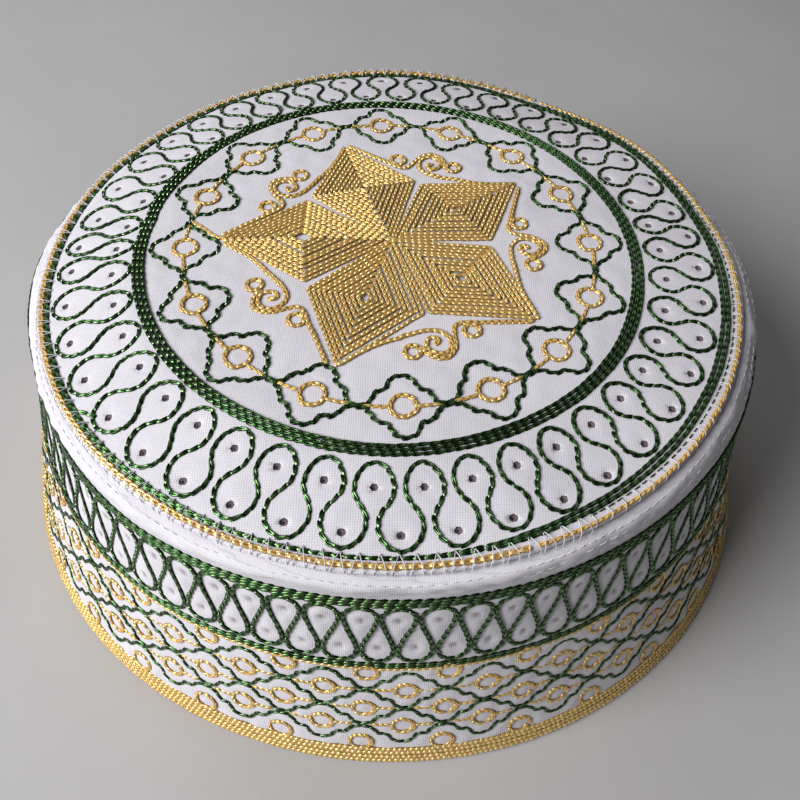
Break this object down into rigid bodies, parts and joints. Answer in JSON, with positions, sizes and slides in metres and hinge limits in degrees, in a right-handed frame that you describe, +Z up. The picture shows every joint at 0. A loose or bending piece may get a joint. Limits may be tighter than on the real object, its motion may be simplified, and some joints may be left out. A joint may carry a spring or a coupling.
{
  "type": "embroidered kufi cap",
  "caption": "Round flat-topped cloth cap with a flared side band, worn on the head, with raised green and gold chain-stitch embroidery and small eyelets.",
  "frame": {"origin": "middle of the hem's oval, at the level of the surface that the hem stands on", "axes": "+Z up through the crown, +X along the longer way of the oval, -Y to the side that faces the viewer"},
  "size_m": [0.1979, 0.182, 0.0755],
  "materials": {
    "white_cotton": "matt starched plain-weave cotton",
    "green_thread": "glossy dark green embroidery thread",
    "gold_thread": "glossy metallic gold embroidery thread"
  },
  "bodies": {
    "root": {"crown": "white_cotton", "side_band": "white_cotton", "rim_cord": "gold_thread", "edge_ring": "green_thread", "crown_ring": "green_thread", "star_point_1": "gold_thread", "star_point_2": "gold_thread", "star_point_3": "gold_thread", "star_point_4": "gold_thread", "star_point_5": "gold_thread", "upper_border": "green_thread", "lower_border": "green_thread", "hem_braid": "gold_thread"}
  },
  "joints": []
}
